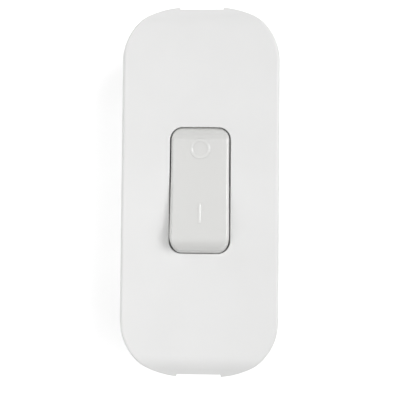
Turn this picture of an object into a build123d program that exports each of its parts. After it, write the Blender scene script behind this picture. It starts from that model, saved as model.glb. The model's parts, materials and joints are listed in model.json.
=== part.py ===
from build123d import *
from math import atan2, cos, degrees, hypot, radians, sin, sqrt, tan
import os

# In-line cord switch: a two-part moulded housing with a rocker in its face and a cord entry at each end.
# Inside, a sprung plunger in the rocker tips a seesaw contact.
# Millimetres. +Z is up out of the face, +Y runs to the off end, the origin is the middle of the underside.
# Everything stands in the off position: the +Y end of the rocker is pressed in and the -Y end is raised.

# Housing
BODY_LENGTH = 87.7
BODY_WIDTH = 37.0
BODY_HEIGHT = 20.0
SPLIT_HEIGHT = 8.0
WALL = 2.0
DRAFT = 1.5
END_FLAT = 5.6
SHOULDER_RADIUS = 18.0
SHOULDER_SWEEP = 32.0
END_ROLL_RADIUS = 5.5
END_ROLL_INSET = 5.9
END_SLOPE = 34.0
COVER_EDGE = 0.9
OPENING_EDGE = 0.2
BASE_STEP = 0.8
BASE_EDGE = 1.5
FLOOR = 2.0
LIP_THICKNESS = 0.8
LIP_HEIGHT = 1.5
LIP_CLEARANCE = 0.12
CORD_ENTRY_WIDTH = 10.3
CORD_ENTRY_DEPTH = 3.0

# Rocker
ROCKER_WIDTH = 13.4
ROCKER_END = 14.35
ROCKER_GAP = 0.3
ROCKER_END_GAP = 0.1
ROCKER_CORNER = 2.7
ROCKER_TRAVEL = 15.0
PIVOT_DEPTH = 4.0
DISH_HALF = 10.45
DISH_SAG = 0.62
NOSE_RADIUS = 4.6
NOSE_SLOPE = 48.0
ROCKER_EDGE = 0.8
ROCKER_WALL = 1.6
ROCKER_SKIRT = 2.4
TRUNNION_RADIUS = 1.5
TRUNNION_PLAY = 0.06
LUG_GAP = 0.55
LUG_THICKNESS = 2.0
LUG_RIM = 1.7
LUG_ENTRY = 2.5

# Plunger and its spring
PLUNGER_RADIUS = 1.65
PLUNGER_PLAY = 0.08
PLUNGER_TIP = 1.2
PLUNGER_EXPOSED = 3.5
PLUNGER_TOP = 0.8
PLUNGER_BOSS_WALL = 0.95
BORE_ROOF = 1.3
WIRE_RADIUS = 0.22
SPRING_PLAY = 0.12
SPRING_TURNS = 5.0

# Contacts
BLADE_TRAVEL = 16.0
BLADE_WIDTH = 6.0
BLADE_THICKNESS = 0.9
BLADE_HALF = 9.6
BLADE_WEB = 0.45
TROUGH_SWEEP = 34.0
TROUGH_BEND = 1.3
RIDGE_RADIUS = 0.5
RIDGE_RISE = 3.25
CONTACT_PLAY = 0.05
CONTACT_REACH = 7.6
TIP_RADIUS = 1.9
TIP_DOME = 3.0
TIP_HEIGHT = 0.7
TIP_SHANK = 0.9
TIP_HEAD = 0.4
FIXED_TIP_HEIGHT = 0.6

# Terminals
STRIP_THICKNESS = 0.9
STRIP_WIDTH = 3.0
PAD_WIDTH = 5.0
EAR_THICKNESS = 1.0
EAR_LENGTH = 2.4
EAR_HEIGHT = 1.6
BLOCK_WIDTH = 7.0
BLOCK_LENGTH = 7.0
BLOCK_HEIGHT = 7.5
BLOCK_CLEARANCE = 1.9
TUNNEL_RADIUS = 1.7
TUNNEL_HEIGHT = 3.0
LINK_WIDTH = 6.0
LINK_LENGTH = 22.0
LINK_HEIGHT = 7.0
LINK_SCREW_PITCH = 13.0
SEAT_PLAY = 0.1
RIB = 1.2

# Screws
TERMINAL_SHANK = 1.45
TERMINAL_LENGTH = 5.5
TERMINAL_HEAD = 2.4
TERMINAL_HEAD_HEIGHT = 1.6
CLAMP_SHANK = 1.2
CLAMP_HEAD = 2.3
CLAMP_HEAD_HEIGHT = 1.6
COVER_SHANK = 1.4
COVER_HEAD = 2.7
COVER_HEAD_HEIGHT = 2.0
SCREW_PLAY = 0.05
SCREW_SLOT = 0.7

# Cord clamps
CLAMP_INSET = 9.7
CLAMP_SPACING = 16.4
CLAMP_WIDTH = 6.0
CLAMP_THICKNESS = 1.6
CLAMP_ROOM = 0.4
CLAMP_ARCH = 3.0
CLAMP_FOOT_LENGTH = 5.4
CORD_DIAMETER = 7.7
CORD_PLAY = 0.35
POST_RADIUS = 2.5
CRADLE_GRIP = 1.2
CRADLE_SPACING = 3.4

# Cover screw bosses
BOSS_INSET_Y = 16.2
BASE_BOSS = 4.0
COVER_BOSS = 3.2
COUNTERBORE_DEPTH = 3.0
COUNTERBORE_PLAY = 0.3
COVER_SCREW_REACH = 11.0

# Worked out from the sizes above
half_length = BODY_LENGTH / 2
half_width = BODY_WIDTH / 2
shoulder_turn = radians(SHOULDER_SWEEP)
corner_reach = half_width - END_FLAT / 2 - SHOULDER_RADIUS * sin(shoulder_turn)
corner_radius = corner_reach / (1 - sin(shoulder_turn))
roof = BODY_HEIGHT - WALL
lip_outside = WALL + LIP_CLEARANCE
base_inside = lip_outside + LIP_THICKNESS
room_half_width = half_width - base_inside

pivot_height = BODY_HEIGHT - PIVOT_DEPTH
rocker_half = ROCKER_WIDTH / 2
rocker_radius = hypot(ROCKER_END, PIVOT_DEPTH)
rocker_tilt = radians(ROCKER_TRAVEL / 2)
dish_rise = rocker_radius * sin(atan2(PIVOT_DEPTH, ROCKER_END) + rocker_tilt) - DISH_SAG / 5
dish_lift = 2 * atan2(DISH_SAG, DISH_HALF)
lug_inside = rocker_half + LUG_GAP
lug_radius = TRUNNION_RADIUS + LUG_RIM
bore_radius = PLUNGER_RADIUS + PLUNGER_PLAY
boss_radius = bore_radius + PLUNGER_BOSS_WALL

blade_tilt = radians(BLADE_TRAVEL / 2)
blade_top = RIDGE_RADIUS + CONTACT_PLAY + BLADE_WEB
tip_height = blade_top + CONTACT_PLAY + PLUNGER_TIP
ridge_height = FLOOR + RIDGE_RISE
plunger_reach = pivot_height - ridge_height - tip_height
sleeve_drop = plunger_reach - PLUNGER_EXPOSED

# Where the plunger's round tip stands in the blade's own frame at the end of the travel
tip_drop = pivot_height - ridge_height - plunger_reach * cos(rocker_tilt)
tip_side = plunger_reach * sin(rocker_tilt) * cos(blade_tilt) - tip_drop * sin(blade_tilt)
tip_end = plunger_reach * sin(rocker_tilt) * sin(blade_tilt) + tip_drop * cos(blade_tilt)
tip_rise = tip_end - tip_height
trough_radius = (tip_side**2 + tip_rise**2) / (2 * tip_rise) + PLUNGER_TIP + CONTACT_PLAY
trough_centre = trough_radius + BLADE_THICKNESS / 2
wing_height = blade_top + (trough_centre + TROUGH_BEND) * (1 - cos(radians(TROUGH_SWEEP)))
wing_underside = wing_height - BLADE_THICKNESS

# The dome of the moving tip is lowest here when the blade lies over to the on side
dome_centre = wing_underside - TIP_HEIGHT + TIP_DOME
dome_low = ridge_height + dome_centre * cos(blade_tilt) - CONTACT_REACH * sin(blade_tilt) - TIP_DOME
fixed_tip_y = CONTACT_REACH * cos(blade_tilt) + dome_centre * sin(blade_tilt)
strip_top = dome_low - CONTACT_PLAY - FIXED_TIP_HEIGHT
seat_height = strip_top - STRIP_THICKNESS
block_top = seat_height + BLOCK_HEIGHT
block_y = rocker_radius + BLOCK_CLEARANCE + BLOCK_LENGTH / 2
link_x = room_half_width - SEAT_PLAY - LINK_WIDTH / 2
barrier_outside = link_x - LINK_WIDTH / 2 - SEAT_PLAY
terminal_hole = TERMINAL_SHANK + SCREW_PLAY
tunnel_roof = TUNNEL_HEIGHT + TUNNEL_RADIUS
cord_top = roof - CLAMP_ROOM - CLAMP_THICKNESS
cord_half_width = CORD_DIAMETER / 2 + CORD_PLAY
clamp_foot = cord_top - CLAMP_ARCH
cradle_top = cord_top - CORD_DIAMETER + CRADLE_GRIP
clamp_y = half_length - CLAMP_INSET
boss_x = room_half_width - SEAT_PLAY - COVER_BOSS
boss_y = half_length - BOSS_INSET_Y
boss_places = [(-boss_x, boss_y), (boss_x, -boss_y)]

rocker_side = Plane((0, 0, pivot_height), (0, cos(rocker_tilt), -sin(rocker_tilt)), (1, 0, 0))
rocker_up = Plane((0, 0, pivot_height), (1, 0, 0), (0, sin(rocker_tilt), cos(rocker_tilt)))
blade_side = Plane((0, 0, ridge_height), (0, cos(blade_tilt), sin(blade_tilt)), (1, 0, 0))
blade_up = Plane((0, 0, ridge_height), (1, 0, 0), (0, -sin(blade_tilt), cos(blade_tilt)))

on_floor = (Align.CENTER, Align.CENTER, Align.MIN)
hung = (Align.CENTER, Align.CENTER, Align.MAX)
upwards = (Align.CENTER, Align.MIN)


def housing_outline(inset):
    with BuildSketch(mode=Mode.PRIVATE) as outline:
        with BuildLine():
            end = Line((0, half_length - inset), (END_FLAT / 2, half_length - inset))
            shoulder = JernArc(end @ 1, end % 1, SHOULDER_RADIUS - inset, -SHOULDER_SWEEP)
            corner = JernArc(shoulder @ 1, shoulder % 1, corner_radius - inset, SHOULDER_SWEEP - 90)
            Line(corner @ 1, (half_width - inset, 0))
            mirror(about=Plane.XZ)
            mirror(about=Plane.YZ)
        make_face()
    return outline.sketch


def cover_side(inset):
    with BuildSketch(Plane.YZ, mode=Mode.PRIVATE) as side:
        with BuildLine():
            face = Line((0, BODY_HEIGHT - inset), (half_length - END_ROLL_INSET, BODY_HEIGHT - inset))
            roll = JernArc(face @ 1, face % 1, END_ROLL_RADIUS - inset, -END_SLOPE)
            slope = PolarLine(roll @ 1, BODY_LENGTH, direction=roll % 1)
            Line(slope @ 1, (0, (slope @ 1).Y))
            mirror(about=Plane.YZ)
        make_face()
    return side.sketch


def cover_form(inset):
    with BuildPart(mode=Mode.PRIVATE) as form:
        with BuildSketch(Plane.XY.offset(SPLIT_HEIGHT)):
            add(housing_outline(inset))
        extrude(amount=BODY_HEIGHT - SPLIT_HEIGHT)
        walls = form.faces().filter_by(Axis.Z, reverse=True)
        draft(walls, Plane.XY.offset(SPLIT_HEIGHT), DRAFT)
        extrude(cover_side(inset), amount=BODY_WIDTH, both=True, mode=Mode.INTERSECT)
    return form.part


# The rocker's ends are round about its pivot, and the opening is the same barrel grown by the running gaps.
def rocker_barrel(side_gap, end_gap):
    with BuildPart(mode=Mode.PRIVATE) as barrel:
        with BuildSketch(rocker_side):
            Circle(rocker_radius + end_gap)
        extrude(amount=rocker_half + side_gap, both=True)
        fillet(barrel.edges().filter_by(GeomType.CIRCLE), ROCKER_CORNER + (side_gap + end_gap) / 2)
    return barrel.part


# Side view of the rocker's top: a dish, then at each end a nose that rolls over into a straight slope
def rocker_profile(inset):
    dish_end = DISH_HALF + inset * sin(dish_lift)
    end_height = dish_rise - inset * cos(dish_lift)
    nose_turn = NOSE_SLOPE + degrees(dish_lift)
    with BuildSketch(mode=Mode.PRIVATE) as profile:
        with BuildLine():
            low = (0, dish_rise - DISH_SAG - inset)
            dish = ThreePointArc((-dish_end, end_height), low, (dish_end, end_height))
            ends = []
            for start, way, turn in ((dish @ 1, dish % 1, -1), (dish @ 0, -(dish % 0), 1)):
                nose = JernArc(start, way, NOSE_RADIUS - inset, turn * nose_turn)
                drop = (nose @ 1).Y + ROCKER_SKIRT + inset
                slope = Line(nose @ 1, nose @ 1 + (nose % 1) * (drop / sin(radians(NOSE_SLOPE))))
                ends.append(slope @ 1)
            Line(*ends)
        make_face()
    return profile.sketch


def slotted_screws(seats, head_radius, head_height, shank_radius, shank_length):
    with BuildPart(mode=Mode.PRIVATE) as screws:
        with Locations(*seats):
            Cylinder(head_radius, head_height, align=on_floor)
        chamfer(screws.edges().filter_by(GeomType.CIRCLE), head_height / 5)
        with Locations(*seats):
            Cylinder(shank_radius, shank_length, align=hung)
        with Locations(*[seat.offset(head_height) for seat in seats]):
            Box(2 * head_radius, SCREW_SLOT, head_height / 2, align=hung, mode=Mode.SUBTRACT)
    return screws.part


with BuildPart() as cover:
    add(cover_form(0))
    side_edges = cover.edges().filter_by(Axis.Y).group_by(Axis.Z)[-1]
    fillet(side_edges, COVER_EDGE)
    add(cover_form(WALL), mode=Mode.SUBTRACT)
    add(rocker_barrel(ROCKER_GAP, ROCKER_END_GAP), mode=Mode.SUBTRACT)
    fillet(cover.faces().sort_by(Axis.Z)[-1].inner_wires()[0].edges(), OPENING_EDGE)
    # cord entries through the end walls, open from the joint line up to the underside of the face
    with Locations((0, -half_length, SPLIT_HEIGHT), (0, half_length, SPLIT_HEIGHT)):
        entry_height = roof - SPLIT_HEIGHT
        Box(CORD_ENTRY_WIDTH, 2 * CORD_ENTRY_DEPTH, entry_height, align=on_floor, mode=Mode.SUBTRACT)
    # bosses for the cover screws
    with Locations(*[(x, y, roof) for x, y in boss_places]):
        Cylinder(COVER_BOSS, roof - SPLIT_HEIGHT - SEAT_PLAY, align=hung)
    with Locations(*[(x, y, SPLIT_HEIGHT) for x, y in boss_places]):
        pilot = COVER_SCREW_REACH + COUNTERBORE_DEPTH + 1 - SPLIT_HEIGHT
        Cylinder(COVER_SHANK + SCREW_PLAY, pilot, align=on_floor, mode=Mode.SUBTRACT)
    # lugs that carry the rocker's trunnions, each with a snap-in mouth
    for side in (-1, 1):
        with BuildSketch(Plane.YZ.offset(side * (lug_inside + LUG_THICKNESS / 2))):
            with Locations((0, pivot_height)):
                Circle(lug_radius)
                Rectangle(2 * lug_radius, roof - pivot_height, align=upwards)
                Circle(TRUNNION_RADIUS + TRUNNION_PLAY, mode=Mode.SUBTRACT)
                Rectangle(LUG_ENTRY, 2 * lug_radius, align=(Align.CENTER, Align.MAX), mode=Mode.SUBTRACT)
        extrude(amount=LUG_THICKNESS / 2, both=True)

with BuildPart() as rocker:
    add(rocker_barrel(0, 0))
    with BuildSketch(rocker_side):
        add(rocker_profile(0))
    extrude(amount=ROCKER_WIDTH, both=True, mode=Mode.INTERSECT)
    side_arcs = rocker.faces().filter_by(Axis.X).edges().filter_by(GeomType.CIRCLE)
    fillet(side_arcs.sort_by(SortBy.LENGTH)[-2:], ROCKER_EDGE)
    # hollow underside
    with BuildSketch(rocker_side):
        add(rocker_profile(ROCKER_WALL))
        Circle(rocker_radius - ROCKER_WALL, mode=Mode.INTERSECT)
    extrude(amount=rocker_half - ROCKER_WALL, both=True, mode=Mode.SUBTRACT)
    # trunnions
    with BuildSketch(rocker_side):
        Circle(TRUNNION_RADIUS)
    extrude(amount=lug_inside + LUG_THICKNESS - SEAT_PLAY, both=True)
    # sleeve for the plunger and its spring
    bore_roof = dish_rise - DISH_SAG - BORE_ROOF
    with BuildSketch(rocker_up.offset(-sleeve_drop)):
        Circle(boss_radius)
    extrude(amount=sleeve_drop + bore_roof)
    with BuildSketch(rocker_up.offset(-sleeve_drop)):
        Circle(bore_radius)
    extrude(amount=sleeve_drop + bore_roof, mode=Mode.SUBTRACT)

plunger_section = Plane((0, 0, pivot_height), (1, 0, 0), -rocker_up.y_dir)
with BuildPart() as plunger:
    with BuildSketch(plunger_section):
        with BuildLine():
            stem = Polyline(
                (0, -PLUNGER_TOP),
                (PLUNGER_RADIUS, -PLUNGER_TOP),
                (PLUNGER_RADIUS, PLUNGER_TIP - plunger_reach),
                (PLUNGER_TIP, -plunger_reach),
            )
            tip = JernArc(stem @ 1, (0, -1), PLUNGER_TIP, -90)
            Line(tip @ 1, stem @ 0)
        make_face()
    revolve(axis=Axis((0, 0, pivot_height), rocker_up.z_dir))

with BuildPart() as plunger_spring:
    coil_radius = bore_radius - SPRING_PLAY - WIRE_RADIUS
    coil_start = WIRE_RADIUS + SEAT_PLAY / 2 - PLUNGER_TOP
    coil_height = bore_roof - WIRE_RADIUS - SEAT_PLAY / 2 - coil_start
    with BuildLine():
        coil = Helix(
            coil_height / SPRING_TURNS,
            coil_height,
            coil_radius,
            center=rocker_up.offset(coil_start).origin,
            direction=rocker_up.z_dir,
        )
    with BuildSketch(Plane(coil @ 0, z_dir=coil % 0)):
        Circle(WIRE_RADIUS)
    sweep(path=coil, is_frenet=True)

with BuildPart() as contact_blade:
    with BuildSketch(blade_side):
        with BuildLine():
            trough = JernArc((0, blade_top - BLADE_THICKNESS / 2), (1, 0), trough_centre, TROUGH_SWEEP)
            bend = JernArc(trough @ 1, trough % 1, TROUGH_BEND, -TROUGH_SWEEP)
            Line(bend @ 1, (BLADE_HALF, (bend @ 1).Y))
            mirror(about=Plane.YZ)
        trace(line_width=BLADE_THICKNESS)
        Circle(RIDGE_RADIUS + CONTACT_PLAY, mode=Mode.SUBTRACT)
    extrude(amount=BLADE_WIDTH / 2, both=True)
    with Locations(Plane(blade_up.from_local_coords((0, CONTACT_REACH, 0)), z_dir=blade_up.z_dir)):
        Cylinder(TIP_SHANK + SCREW_PLAY, 4 * wing_height, mode=Mode.SUBTRACT)

tip_seat = blade_up.from_local_coords((0, CONTACT_REACH, wing_underside))
with BuildPart() as moving_contact_tip:
    with BuildSketch(Plane(tip_seat, (1, 0, 0), -blade_up.y_dir)):
        with BuildLine():
            shank = Polyline(
                (0, -TIP_HEIGHT),
                (0, BLADE_THICKNESS + TIP_HEAD),
                (TIP_SHANK + TIP_HEAD, BLADE_THICKNESS + TIP_HEAD),
                (TIP_SHANK + TIP_HEAD, BLADE_THICKNESS),
                (TIP_SHANK, BLADE_THICKNESS),
                (TIP_SHANK, 0),
                (TIP_RADIUS, 0),
                (TIP_RADIUS, TIP_DOME - sqrt(TIP_DOME**2 - TIP_RADIUS**2) - TIP_HEIGHT),
            )
            RadiusArc(shank @ 1, shank @ 0, TIP_DOME)
        make_face()
    revolve(axis=Axis(tip_seat, blade_up.z_dir))

with BuildPart() as fixed_contact_tip:
    with Locations((0, fixed_tip_y, strip_top)):
        Cylinder(TIP_RADIUS, FIXED_TIP_HEIGHT, align=on_floor)
        chamfer(fixed_contact_tip.edges().group_by(Axis.Z)[-1], FIXED_TIP_HEIGHT / 4)
        Cylinder(TIP_SHANK, STRIP_THICKNESS, align=hung)

with BuildPart() as common_terminal:
    # strip along the floor, block for the wire, and the ridge with an ear at each side of the blade
    with Locations((0, RIDGE_RADIUS, seat_height)):
        strip_length = block_y + RIDGE_RADIUS
        Box(STRIP_WIDTH, strip_length, STRIP_THICKNESS, align=(Align.CENTER, Align.MAX, Align.MIN))
    with Locations((0, -block_y, seat_height)):
        Box(BLOCK_WIDTH, BLOCK_LENGTH, BLOCK_HEIGHT, align=on_floor)
    with BuildSketch(Plane.YZ):
        with Locations((0, ridge_height)):
            Circle(RIDGE_RADIUS)
        with Locations((0, seat_height)):
            Rectangle(2 * RIDGE_RADIUS, ridge_height - seat_height, align=upwards)
    extrude(amount=BLADE_WIDTH / 2 + SEAT_PLAY, both=True)
    ear_x = BLADE_WIDTH / 2 + SEAT_PLAY + EAR_THICKNESS / 2
    with Locations((-ear_x, 0, seat_height), (ear_x, 0, seat_height)):
        Box(EAR_THICKNESS, EAR_LENGTH, ridge_height - seat_height + EAR_HEIGHT, align=on_floor)
    with BuildSketch(Plane.XZ.offset(block_y)):
        with Locations((0, seat_height + TUNNEL_HEIGHT)):
            Circle(TUNNEL_RADIUS)
    extrude(amount=BLOCK_LENGTH / 2, both=True, mode=Mode.SUBTRACT)
    with Locations((0, -block_y, block_top)):
        Cylinder(terminal_hole, BLOCK_HEIGHT - TUNNEL_HEIGHT, align=hung, mode=Mode.SUBTRACT)

with BuildPart() as switched_terminal:
    pad_end = fixed_tip_y - TIP_RADIUS - RIDGE_RADIUS
    with Locations((0, pad_end, seat_height)):
        Box(PAD_WIDTH, block_y - pad_end, STRIP_THICKNESS, align=(Align.CENTER, Align.MIN, Align.MIN))
    with Locations((0, block_y, seat_height)):
        Box(BLOCK_WIDTH, BLOCK_LENGTH, BLOCK_HEIGHT, align=on_floor)
    with BuildSketch(Plane.XZ.offset(-block_y)):
        with Locations((0, seat_height + TUNNEL_HEIGHT)):
            Circle(TUNNEL_RADIUS)
    extrude(amount=BLOCK_LENGTH / 2, both=True, mode=Mode.SUBTRACT)
    with Locations((0, block_y, block_top)):
        Cylinder(terminal_hole, BLOCK_HEIGHT - TUNNEL_HEIGHT, align=hung, mode=Mode.SUBTRACT)
    with Locations((0, fixed_tip_y, strip_top)):
        Cylinder(TIP_SHANK + SCREW_PLAY, STRIP_THICKNESS, align=hung, mode=Mode.SUBTRACT)


def through_link(side):
    with BuildPart(mode=Mode.PRIVATE) as link:
        with Locations((side * link_x, 0, FLOOR)):
            Box(LINK_WIDTH, LINK_LENGTH, LINK_HEIGHT, align=on_floor)
        with BuildSketch(Plane.XZ):
            with Locations((side * link_x, FLOOR + TUNNEL_HEIGHT)):
                Circle(TUNNEL_RADIUS)
        extrude(amount=LINK_LENGTH, both=True, mode=Mode.SUBTRACT)
        with Locations((side * link_x, 0, FLOOR + LINK_HEIGHT)):
            with GridLocations(1, LINK_SCREW_PITCH, 1, 2):
                Cylinder(terminal_hole, LINK_HEIGHT - TUNNEL_HEIGHT, align=hung, mode=Mode.SUBTRACT)
    return link.part


def cord_clamp(end):
    foot_end = CLAMP_SPACING / 2 + CLAMP_FOOT_LENGTH / 2
    arch_width = cord_half_width + CLAMP_THICKNESS
    with BuildPart(mode=Mode.PRIVATE) as clamp:
        with BuildSketch(Plane.XZ.offset(-end * clamp_y)):
            with Locations((0, clamp_foot)):
                Rectangle(2 * foot_end, CLAMP_THICKNESS, align=upwards)
                Rectangle(2 * arch_width, CLAMP_ARCH + CLAMP_THICKNESS, align=upwards)
                Rectangle(2 * cord_half_width, CLAMP_ARCH, align=upwards, mode=Mode.SUBTRACT)
        extrude(amount=CLAMP_WIDTH / 2, both=True)
        arch_edges = clamp.edges().filter_by(Axis.Y).group_by(Axis.Z)
        fillet(arch_edges[-1], CLAMP_THICKNESS)
        fillet(arch_edges[-2], CLAMP_THICKNESS / 2)
        with Locations((0, end * clamp_y, clamp_foot)):
            with GridLocations(CLAMP_SPACING, 1, 2, 1):
                Cylinder(CLAMP_SHANK + 2 * SCREW_PLAY, CLAMP_THICKNESS, align=on_floor, mode=Mode.SUBTRACT)
    return clamp.part


with BuildPart() as base:
    with BuildSketch():
        add(housing_outline(BASE_STEP))
    extrude(amount=SPLIT_HEIGHT)
    fillet(base.faces().sort_by(Axis.Z)[0].edges(), BASE_EDGE)
    # lip inside the cover's wall, cut away under the cord entries
    with BuildSketch(Plane.XY.offset(SPLIT_HEIGHT)):
        add(housing_outline(lip_outside))
        Rectangle(CORD_ENTRY_WIDTH, BODY_LENGTH, mode=Mode.SUBTRACT)
    extrude(amount=LIP_HEIGHT)
    with BuildSketch(Plane.XY.offset(FLOOR)):
        add(housing_outline(base_inside))
    extrude(amount=SPLIT_HEIGHT, mode=Mode.SUBTRACT)
    # bosses for the cover screws, sunk from underneath
    with Locations(*[(x, y, FLOOR) for x, y in boss_places]):
        Cylinder(BASE_BOSS, SPLIT_HEIGHT - FLOOR, align=on_floor)
    with Locations(*[(x, y, 0) for x, y in boss_places]):
        Cylinder(COVER_HEAD + COUNTERBORE_PLAY, COUNTERBORE_DEPTH, align=on_floor, mode=Mode.SUBTRACT)
        Cylinder(COVER_SHANK + 2 * SCREW_PLAY, SPLIT_HEIGHT, align=on_floor, mode=Mode.SUBTRACT)
    # raised seats for the two switched terminals
    seat_end = block_y + BLOCK_LENGTH / 2
    seat_rise = seat_height - FLOOR
    with Locations((0, (EAR_LENGTH - seat_end) / 2, FLOOR)):
        Box(BLOCK_WIDTH, seat_end + EAR_LENGTH, seat_rise, align=on_floor)
    with Locations((0, (pad_end + seat_end) / 2, FLOOR)):
        Box(BLOCK_WIDTH, seat_end - pad_end, seat_rise, align=on_floor)
    cheek_x = BLOCK_WIDTH / 2 + SEAT_PLAY + RIB / 2
    with GridLocations(2 * cheek_x, 2 * block_y, 2, 2):
        with Locations((0, 0, FLOOR)):
            Box(RIB, BLOCK_LENGTH, seat_rise + BLOCK_HEIGHT / 2, align=on_floor)
    # posts that the open blade rests on, beside the strip
    rest_y = BLADE_HALF - RIB
    rest_drop = (rest_y + RIB / 2) * tan(blade_tilt) - wing_underside / cos(blade_tilt) + CONTACT_PLAY
    rest_width = BLADE_WIDTH / 2 - STRIP_WIDTH / 2 - SEAT_PLAY
    rest_x = BLADE_WIDTH / 2 - rest_width / 2
    with Locations((-rest_x, -rest_y, FLOOR), (rest_x, -rest_y, FLOOR)):
        Box(rest_width, RIB, ridge_height - rest_drop - FLOOR, align=on_floor)
    # posts that stop the rocker under its side walls
    stop_y = ROCKER_END - 2 * RIB
    stop_drop = (stop_y + RIB) * tan(rocker_tilt) + ROCKER_SKIRT / cos(rocker_tilt) + CONTACT_PLAY
    with Locations((0, 0, FLOOR)):
        with GridLocations(ROCKER_WIDTH - ROCKER_WALL, 2 * stop_y, 2, 2):
            Box(2 * RIB, 2 * RIB, pivot_height - stop_drop - FLOOR, align=on_floor)
    # barriers and end ribs that hold the through links against the walls
    with Locations((0, 0, FLOOR)):
        with GridLocations(2 * barrier_outside - RIB, 1, 2, 1):
            Box(RIB, LINK_LENGTH + 2 * (SEAT_PLAY + RIB), LINK_HEIGHT, align=on_floor)
        with GridLocations(2 * link_x, LINK_LENGTH + 2 * SEAT_PLAY + RIB, 2, 2):
            Box(LINK_WIDTH + 4 * SEAT_PLAY, RIB, TUNNEL_HEIGHT - TUNNEL_RADIUS, align=on_floor)
    # posts and cradles for the cord clamps
    with Locations((0, 0, FLOOR)):
        with GridLocations(CLAMP_SPACING, 2 * clamp_y, 2, 2):
            Cylinder(POST_RADIUS, clamp_foot - FLOOR, align=on_floor)
    with Locations((0, 0, clamp_foot)):
        with GridLocations(CLAMP_SPACING, 2 * clamp_y, 2, 2):
            pilot = clamp_foot - 2 * FLOOR
            Cylinder(CLAMP_SHANK + SCREW_PLAY, pilot, align=hung, mode=Mode.SUBTRACT)
    for end in (-1, 1):
        with BuildSketch(Plane.XZ.offset(-end * clamp_y)):
            with Locations((0, FLOOR)):
                Rectangle(CORD_ENTRY_WIDTH, cradle_top - FLOOR, align=upwards)
            with Locations((0, cord_top - CORD_DIAMETER / 2)):
                Circle(CORD_DIAMETER / 2, mode=Mode.SUBTRACT)
        extrude(amount=CRADLE_SPACING / 2 + RIB, both=True)
        with Locations((0, end * clamp_y, FLOOR)):
            Box(CORD_ENTRY_WIDTH, CRADLE_SPACING, cradle_top, align=on_floor, mode=Mode.SUBTRACT)

clamp_seat = clamp_foot + CLAMP_THICKNESS
terminal_sizes = (TERMINAL_HEAD, TERMINAL_HEAD_HEIGHT, TERMINAL_SHANK, TERMINAL_LENGTH)
clamp_sizes = (CLAMP_HEAD, CLAMP_HEAD_HEIGHT, CLAMP_SHANK, clamp_seat - 3 * FLOOR)
cover_sizes = (COVER_HEAD, COVER_HEAD_HEIGHT, COVER_SHANK, COVER_SCREW_REACH)
cover_seats = [Plane((x, y, COUNTERBORE_DEPTH), z_dir=(0, 0, -1)) for x, y in boss_places]
half_pitch = LINK_SCREW_PITCH / 2
half_spacing = CLAMP_SPACING / 2


# The wire screws stand drawn back to the roof of the wire tunnels, open for the conductors.
def block_screw(end):
    seat = Plane((0, end * block_y, seat_height + tunnel_roof + TERMINAL_LENGTH))
    return slotted_screws([seat], *terminal_sizes)


def link_screws(side):
    seat_z = FLOOR + tunnel_roof + TERMINAL_LENGTH
    seats = [Plane((side * link_x, y, seat_z)) for y in (-half_pitch, half_pitch)]
    return slotted_screws(seats, *terminal_sizes)


def clamp_screws(end):
    seats = [Plane((x, end * clamp_y, clamp_seat)) for x in (-half_spacing, half_spacing)]
    return slotted_screws(seats, *clamp_sizes)


pieces = {
    "base": base.part,
    "cover": cover.part,
    "rocker": rocker.part,
    "plunger": plunger.part,
    "plunger_spring": plunger_spring.part,
    "contact_blade": contact_blade.part,
    "moving_contact_tip": moving_contact_tip.part,
    "fixed_contact_tip": fixed_contact_tip.part,
    "common_terminal": common_terminal.part,
    "common_terminal_screw": block_screw(-1),
    "switched_terminal": switched_terminal.part,
    "switched_terminal_screw": block_screw(1),
    "neutral_terminal": through_link(-1),
    "neutral_terminal_screws": link_screws(-1),
    "earth_terminal": through_link(1),
    "earth_terminal_screws": link_screws(1),
    "cord_clamp_inlet": cord_clamp(-1),
    "clamp_screws_inlet": clamp_screws(-1),
    "cord_clamp_outlet": cord_clamp(1),
    "clamp_screws_outlet": clamp_screws(1),
    "cover_screws": slotted_screws(cover_seats, *cover_sizes),
}

os.makedirs("parts", exist_ok=True)
for name, piece in pieces.items():
    piece.label = name
    export_step(piece, f"parts/{name}.step")
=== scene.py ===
import json
from math import cos, hypot, pi, radians, sin, tan

import bmesh
import bpy
from mathutils import Matrix, Vector


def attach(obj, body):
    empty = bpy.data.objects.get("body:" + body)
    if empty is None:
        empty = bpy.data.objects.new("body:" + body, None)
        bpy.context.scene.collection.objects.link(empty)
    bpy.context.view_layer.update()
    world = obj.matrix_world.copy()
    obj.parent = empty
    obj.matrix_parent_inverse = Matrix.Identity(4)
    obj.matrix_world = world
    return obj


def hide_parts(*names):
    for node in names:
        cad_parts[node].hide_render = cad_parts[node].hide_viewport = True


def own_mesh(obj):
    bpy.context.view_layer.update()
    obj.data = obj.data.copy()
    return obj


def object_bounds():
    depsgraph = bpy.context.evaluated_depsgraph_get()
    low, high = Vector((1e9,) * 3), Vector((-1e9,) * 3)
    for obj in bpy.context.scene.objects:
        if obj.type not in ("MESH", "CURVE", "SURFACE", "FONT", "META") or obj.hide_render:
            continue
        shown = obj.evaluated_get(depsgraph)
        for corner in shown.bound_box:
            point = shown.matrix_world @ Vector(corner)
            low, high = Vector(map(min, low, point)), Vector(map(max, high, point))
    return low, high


# Looks of the in-line cord switch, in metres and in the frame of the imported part.
# +Z points out of the face and +Y to the off end.
MM = 0.001
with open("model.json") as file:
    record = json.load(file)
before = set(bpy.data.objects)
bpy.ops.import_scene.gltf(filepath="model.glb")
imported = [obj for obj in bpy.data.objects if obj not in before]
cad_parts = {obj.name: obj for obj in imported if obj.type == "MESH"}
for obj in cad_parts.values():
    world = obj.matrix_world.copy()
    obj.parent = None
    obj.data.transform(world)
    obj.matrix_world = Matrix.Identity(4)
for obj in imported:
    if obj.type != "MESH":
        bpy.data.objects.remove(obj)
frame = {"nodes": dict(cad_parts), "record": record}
nodes = frame["nodes"]
cad_box = [list(corner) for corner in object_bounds()]

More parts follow.
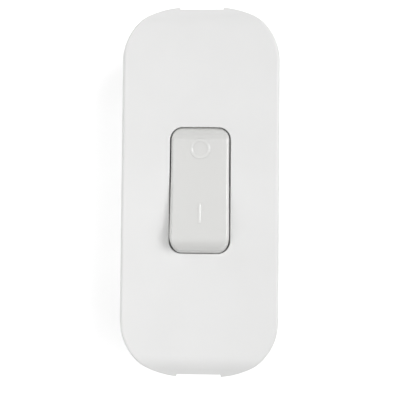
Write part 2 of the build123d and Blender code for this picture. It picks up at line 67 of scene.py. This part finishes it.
# View of the photograph
PHOTO_WIDTH = 400
PIXELS_PER_MM = 4.366
VIEW_DISTANCE = 110 * MM
VIEW_TARGET = Vector((0.06, -2.22, 20.0)) * MM
VIEW_FROM_RIGHT = radians(1.5)
VIEW_FROM_BELOW = radians(1.13)
VIEW_ROLL = radians(0.532)
SENSOR_WIDTH = 36.0

# Light, the sky's levels as the sine of the height
SKY_PALE_BELOW = 0.25
SKY_DARK_ABOVE = 0.45
LAMP_DISTANCE = 1.5
FILL_DISTANCE = 0.3
FILL_SIZE = 0.2

# Floor
FLOOR_HALF = 3.0
FLOOR_WHITE = 0.84
FLOOR_GRAIN = 0.01
FLOOR_GRAIN_SCALE = 40
FLOOR_GLOW = 0.41
FLOOR_GLOW_WITHIN = 0.1
FLOOR_WHITE_BEYOND = 0.6

# Materials: noise from NOISE_LOW to NOISE_HIGH varies colour and roughness by these shares and steps
NOISE_LOW = 0.35
NOISE_HIGH = 0.65
FINE_DETAIL = 2.0
PLASTIC_IOR = 1.5
PLASTIC_FLOW = 0.01
PLASTIC_FLOW_SCALE = 60
PLASTIC_ROUGHNESS_STEP = 0.03
PLASTIC_GRAIN_SCALE = 9000
PLASTIC_GRAIN_DEPTH = 0.02 * MM
METAL_TARNISH = 0.14
METAL_TARNISH_SCALE = 350
METAL_ROUGHNESS_STEP = 0.08
METAL_BRUSH_SCALE = 900
METAL_BRUSH_STRENGTH = 0.15
METAL_BRUSH_DEPTH = 0.01 * MM
ROCKER_COLOUR = (0.745, 0.745, 0.73)
ROCKER_ROUGHNESS = 0.14
ROCKER_GRAIN = 0.01
ROCKER_COAT = 0.3

# Marks on the rocker, along it from its middle
RING_ALONG = 8.9 * MM
RING_RADIUS = 2.0 * MM
BAR_ALONG = -6.0 * MM
BAR_LENGTH = 4.6 * MM
MARK_HALF_WIDTH = 0.4 * MM
MARK_RISE = 0.12 * MM
MARK_CREST = 0.3
# The marks' colour is painted paler than the rocker's, a painted lift against the shade their coat and flanks
# would give
MARK_PAINTED_LIFT = 1.06
MARK_IOR = 1.58
MARK_ROUGHNESS = 0.1
RING_STEPS = 72
BAR_STEPS = 16
BEAD_STEPS = 8
PROBE_HEIGHT = 20 * MM


def add_object(name, data):
    piece = bpy.data.objects.new(name, data)
    bpy.context.scene.collection.objects.link(piece)
    return piece


def new_material(name, node_names=()):
    """A new material, its node tree and its shader. The named nodes get it in place of their own."""
    material = bpy.data.materials.new(name)
    material.use_nodes = True
    for node_name in node_names:
        slots = nodes[node_name].data.materials
        slots.clear()
        slots.append(material)
    tree = material.node_tree
    return material, tree, tree.nodes["Principled BSDF"]


def joined(tree, operation, first, second):
    node = tree.nodes.new("ShaderNodeMath")
    node.operation = operation
    tree.links.new(first, node.inputs[0])
    tree.links.new(second, node.inputs[1])
    return node.outputs[0]


def mapped(tree, value, start, end, low, high, interpolation="LINEAR"):
    node = tree.nodes.new("ShaderNodeMapRange")
    node.interpolation_type = interpolation
    node.inputs["From Min"].default_value = start
    node.inputs["From Max"].default_value = end
    node.inputs["To Min"].default_value = low
    node.inputs["To Max"].default_value = high
    tree.links.new(value, node.inputs["Value"])
    return node.outputs["Result"]


def object_place(tree):
    return tree.nodes.new("ShaderNodeTexCoord").outputs["Object"]


def noise_at(tree, place, scale, detail):
    noise = tree.nodes.new("ShaderNodeTexNoise")
    noise.inputs["Scale"].default_value = scale
    noise.inputs["Detail"].default_value = detail
    tree.links.new(place, noise.inputs["Vector"])
    return noise.outputs["Fac"]


def object_noise(tree, scale, detail=3.0):
    return noise_at(tree, object_place(tree), scale, detail)


def vary_colour(tree, shader, factor, dark, light):
    ramp = tree.nodes.new("ShaderNodeValToRGB")
    first, last = ramp.color_ramp.elements
    first.position = NOISE_LOW
    first.color = (*dark, 1)
    last.position = NOISE_HIGH
    last.color = (*light, 1)
    tree.links.new(factor, ramp.inputs["Fac"])
    tree.links.new(ramp.outputs["Color"], shader.inputs["Base Color"])


def vary_roughness(tree, shader, factor, middle, step):
    spread = mapped(tree, factor, NOISE_LOW, NOISE_HIGH, middle - step, middle + step)
    tree.links.new(spread, shader.inputs["Roughness"])


def add_bump(tree, shader, height, strength, distance):
    bump = tree.nodes.new("ShaderNodeBump")
    bump.inputs["Strength"].default_value = strength
    bump.inputs["Distance"].default_value = distance
    tree.links.new(height, bump.inputs["Height"])
    tree.links.new(bump.outputs["Normal"], shader.inputs["Normal"])


def moulded_plastic(name, node_names, colour, roughness, grain):
    """Plastic with a slight cloud of flow in its colour and gloss, and a fine grain."""
    material, tree, shader = new_material(name, node_names)
    cloud = object_noise(tree, PLASTIC_FLOW_SCALE)
    dark = [c * (1 - PLASTIC_FLOW) for c in colour]
    light = [c * (1 + PLASTIC_FLOW) for c in colour]
    vary_colour(tree, shader, cloud, dark, light)
    vary_roughness(tree, shader, cloud, roughness, PLASTIC_ROUGHNESS_STEP)
    fine = object_noise(tree, PLASTIC_GRAIN_SCALE, FINE_DETAIL)
    add_bump(tree, shader, fine, grain, PLASTIC_GRAIN_DEPTH)
    shader.inputs["IOR"].default_value = PLASTIC_IOR
    return material


def bare_metal(name, node_names, colour, roughness, stretch):
    """Metal with tarnish in its colour and brush marks that run as stretch says."""
    _, tree, shader = new_material(name, node_names)
    lay = tree.nodes.new("ShaderNodeMapping")
    lay.inputs["Scale"].default_value = stretch
    tree.links.new(object_place(tree), lay.inputs["Vector"])
    brush = noise_at(tree, lay.outputs["Vector"], METAL_BRUSH_SCALE, FINE_DETAIL)
    tarnish = object_noise(tree, METAL_TARNISH_SCALE)
    vary_colour(tree, shader, tarnish, [c * (1 - METAL_TARNISH) for c in colour], colour)
    vary_roughness(tree, shader, brush, roughness, METAL_ROUGHNESS_STEP)
    add_bump(tree, shader, brush, METAL_BRUSH_STRENGTH, METAL_BRUSH_DEPTH)
    shader.inputs["Metallic"].default_value = 1.0


def clear_print():
    """Gloss that follows the marks' ridges, over plastic that keeps the rocker's own surface under them."""
    # Painted lift: the marks' colour is made paler so that they don't read darker than the rocker under their
    # coat.
    colour = [c * MARK_PAINTED_LIFT for c in ROCKER_COLOUR]
    material = moulded_plastic("mark_print", [], colour, ROCKER_ROUGHNESS, ROCKER_GRAIN)
    tree = material.node_tree
    under = tree.nodes.new("ShaderNodeAttribute")
    under.attribute_name = "plastic_normal"
    carried = tree.nodes.new("ShaderNodeVectorTransform")
    carried.vector_type = "NORMAL"
    carried.convert_from = "OBJECT"
    carried.convert_to = "WORLD"
    tree.links.new(under.outputs["Vector"], carried.inputs["Vector"])
    tree.links.new(carried.outputs["Vector"], tree.nodes["Bump"].inputs["Normal"])
    shader = tree.nodes["Principled BSDF"]
    shader.inputs["Coat Weight"].default_value = 1.0
    shader.inputs["Coat IOR"].default_value = MARK_IOR
    shader.inputs["Coat Roughness"].default_value = MARK_ROUGHNESS
    return material


# Materials of the CAD nodes
screws = ["common_terminal_screw", "switched_terminal_screw", "neutral_terminal_screws"]
screws += ["earth_terminal_screws", "clamp_screws_inlet", "clamp_screws_outlet", "cover_screws"]
terminals = ["common_terminal", "switched_terminal", "neutral_terminal", "earth_terminal", "contact_blade"]
moulded_plastic("housing_white", ["base", "cover"], (0.84, 0.84, 0.835), 0.42, 0.06)
rocker_gloss = moulded_plastic("rocker_gloss", ["rocker"], ROCKER_COLOUR, ROCKER_ROUGHNESS, ROCKER_GRAIN)
rocker_gloss.node_tree.nodes["Principled BSDF"].inputs["Coat Weight"].default_value = ROCKER_COAT
moulded_plastic("plunger_nylon", ["plunger"], (0.70, 0.70, 0.67), 0.38, 0.05)
moulded_plastic("clamp_nylon", ["cord_clamp_inlet", "cord_clamp_outlet"], (0.80, 0.80, 0.79), 0.4, 0.05)
bare_metal("terminal_brass", terminals, (0.80, 0.61, 0.30), 0.3, (1, 12, 12))
bare_metal("contact_silver", ["moving_contact_tip", "fixed_contact_tip"], (0.86, 0.85, 0.83), 0.26, (4, 4, 4))
bare_metal("screw_zinc", screws, (0.68, 0.68, 0.69), 0.28, (3, 3, 14))
bare_metal("spring_wire", ["plunger_spring"], (0.60, 0.60, 0.62), 0.24, (8, 8, 8))
mark_print = clear_print()

# The rocker's own directions at rest, from its joint
joints = {joint["name"]: joint for joint in frame["record"]["behaviour"]["joints"]}
tilt = radians(sum(joints["rocker_tilt"]["range_deg"]) / 2)
pivot = Vector(joints["rocker_tilt"]["pos_m"])
across = Vector((1, 0, 0))
along = Vector((0, cos(tilt), -sin(tilt)))
outward = Vector((0, sin(tilt), cos(tilt)))


def on_rocker(x, y):
    """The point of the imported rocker's top at x across and y along it, and the normal there."""
    start = pivot + across * x + along * y + outward * PROBE_HEIGHT
    _, point, normal, _ = nodes["rocker"].ray_cast(start, -outward)
    return point, normal


def bead_rows(mesh, track, closed):
    """Rows of points across a low ridge with a rounded crest, its edges sunk a little into the rocker."""
    plastic_normal = mesh.verts.layers.float_vector.new("plastic_normal")
    rows = []
    count = len(track)
    for index, (x, y) in enumerate(track):
        before = track[index - 1] if closed or index else track[0]
        after = track[(index + 1) % count] if closed or index < count - 1 else track[-1]
        run = Vector((after[0] - before[0], after[1] - before[1])).normalized()
        point, normal = on_rocker(x, y)
        side = (across * run.y - along * run.x).normalized()
        row = []
        for step in range(BEAD_STEPS + 1):
            place = 1 - 2 * step / BEAD_STEPS
            up = MARK_RISE * (1 - hypot(place, MARK_CREST)) / (1 - MARK_CREST)
            spot = mesh.verts.new(point + side * place * MARK_HALF_WIDTH + normal * up)
            spot[plastic_normal] = normal
            row.append(spot)
        rows.append(row)
    return rows


def bead(name, track, closed):
    """A ridge along points of the rocker's top: smooth above, flat below and at open ends."""
    mesh = bmesh.new()
    rows = bead_rows(mesh, track, closed)
    pairs = zip(rows, rows[1:] + rows[:1]) if closed else zip(rows, rows[1:])
    for near, far in pairs:
        for step in range(BEAD_STEPS):
            top = mesh.faces.new((near[step], near[step + 1], far[step + 1], far[step]))
            top.smooth = True
        mesh.faces.new((near[BEAD_STEPS], near[0], far[0], far[BEAD_STEPS]))
    if not closed:
        mesh.faces.new(rows[0])
        mesh.faces.new(list(reversed(rows[-1])))
    bmesh.ops.recalc_face_normals(mesh, faces=mesh.faces)
    data = bpy.data.meshes.new(name)
    mesh.to_mesh(data)
    mesh.free()
    data.materials.append(mark_print)
    piece = add_object(name, data)
    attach(piece, "rocker")


# Marks
ring_turns = [2 * pi * step / RING_STEPS for step in range(RING_STEPS)]
bead("off_mark", [(RING_RADIUS * cos(t), RING_ALONG + RING_RADIUS * sin(t)) for t in ring_turns], True)
bar_places = [BAR_ALONG + BAR_LENGTH * (step / BAR_STEPS - 0.5) for step in range(BAR_STEPS + 1)]
bead("on_mark", [(0, place) for place in bar_places], False)

# A copy of the spring's mesh goes with the rocker in place of the imported spring.
coil = add_object("spring_coil", nodes["plunger_spring"].data.copy())
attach(coil, "rocker")
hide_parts("plunger_spring")
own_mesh(coil)


def seen_directly(tree):
    """One for rays from the camera and for rays by way of a reflection or a clear piece, else zero."""
    path = tree.nodes.new("ShaderNodeLightPath")
    seen = path.outputs["Is Camera Ray"]
    for ray in ("Is Glossy Ray", "Is Transmission Ray"):
        seen = joined(tree, "MAXIMUM", seen, path.outputs[ray])
    return seen


def white_floor():
    """Pale paper that glows where it is seen: a little near the object, and up to white far from it."""
    data = bpy.data.meshes.new("floor")
    corners = [(x * FLOOR_HALF, y * FLOOR_HALF, 0) for x, y in ((-1, -1), (1, -1), (1, 1), (-1, 1))]
    data.from_pydata(corners, [], [(0, 1, 2, 3)])
    add_object("floor", data)
    material, tree, paper = new_material("floor_paper")
    data.materials.append(material)
    dark = [FLOOR_WHITE * (1 - FLOOR_GRAIN)] * 3
    light = [FLOOR_WHITE * (1 + FLOOR_GRAIN)] * 3
    vary_colour(tree, paper, object_noise(tree, FLOOR_GRAIN_SCALE), dark, light)
    paper.inputs["Roughness"].default_value = 0.9
    paper.inputs["Specular IOR Level"].default_value = 0.0
    paper.inputs["Emission Color"].default_value = (1, 1, 1, 1)
    reach = tree.nodes.new("ShaderNodeVectorMath")
    reach.operation = "LENGTH"
    tree.links.new(object_place(tree), reach.inputs[0])
    distance = reach.outputs["Value"]
    glow = mapped(tree, distance, FLOOR_GLOW_WITHIN, FLOOR_WHITE_BEYOND, FLOOR_GLOW, 1.0, "SMOOTHSTEP")
    tree.links.new(joined(tree, "MULTIPLY", seen_directly(tree), glow), paper.inputs["Emission Strength"])


def studio_sky():
    """Seen alone, without lighting matt surfaces: pale at the horizon, dark overhead where lamps hang."""
    world = bpy.data.worlds.new("studio")
    bpy.context.scene.world = world
    world.use_nodes = True
    tree = world.node_tree
    sky = tree.nodes["Background"]
    sky.inputs["Color"].default_value = (1, 1, 1, 1)
    way = tree.nodes.new("ShaderNodeSeparateXYZ")
    tree.links.new(tree.nodes.new("ShaderNodeTexCoord").outputs["Generated"], way.inputs["Vector"])
    pale = mapped(tree, way.outputs["Z"], SKY_PALE_BELOW, SKY_DARK_ABOVE, 1.0, 0.0, "SMOOTHSTEP")
    tree.links.new(joined(tree, "MULTIPLY", seen_directly(tree), pale), sky.inputs["Strength"])


def lamp(name, azimuth, elevation, distance, size, power):
    """A round lamp that faces the object, azimuth turning from +X to +Y."""
    data = bpy.data.lights.new(name, "AREA")
    data.energy = power
    data.shape = "DISK"
    data.size = size
    level = cos(radians(elevation))
    way = Vector((level * cos(radians(azimuth)), level * sin(radians(azimuth)), sin(radians(elevation))))
    piece = add_object(name, data)
    piece.location = way * distance + Vector((0, 0, cad_box[1][2]))
    piece.rotation_euler = way.to_track_quat("Z", "Y").to_euler()
    return piece


def photo_camera():
    data = bpy.data.cameras.new("camera")
    data.sensor_width = SENSOR_WIDTH
    data.lens = PIXELS_PER_MM / MM * VIEW_DISTANCE * SENSOR_WIDTH / PHOTO_WIDTH
    data.clip_start = 0.01
    back = Vector((tan(VIEW_FROM_RIGHT), -tan(VIEW_FROM_BELOW), 1)).normalized()
    right = Vector((0, 1, 0)).cross(back).normalized()
    turned = Matrix((right, back.cross(right), back)).transposed() @ Matrix.Rotation(VIEW_ROLL, 3, "Z")
    camera = add_object("camera", data)
    camera.matrix_world = Matrix.Translation(VIEW_TARGET + back * VIEW_DISTANCE) @ turned.to_4x4()
    bpy.context.scene.camera = camera


white_floor()
studio_sky()
lamp("key", 25, 48, LAMP_DISTANCE, 0.75, 6.80)
lamp("key_low", 15, 38, LAMP_DISTANCE, 1.05, 5.79)
lamp("key_side", -15, 50, LAMP_DISTANCE, 1.05, 4.02)
lamp("overhead", 0, 90, LAMP_DISTANCE, 1.5, 5.27)
lamp("fill_high", 180, 60, FILL_DISTANCE, FILL_SIZE, 0.127)
lamp("fill_front", 225, 35, FILL_DISTANCE, FILL_SIZE, 0.214)
# The low fill would mirror in the face at a glancing view and clip it to white.
fill_back = lamp("fill_back", 135, 15, FILL_DISTANCE, FILL_SIZE, 0.226)
fill_back.visible_glossy = False
photo_camera()
bpy.context.scene.view_settings.view_transform = "Standard"
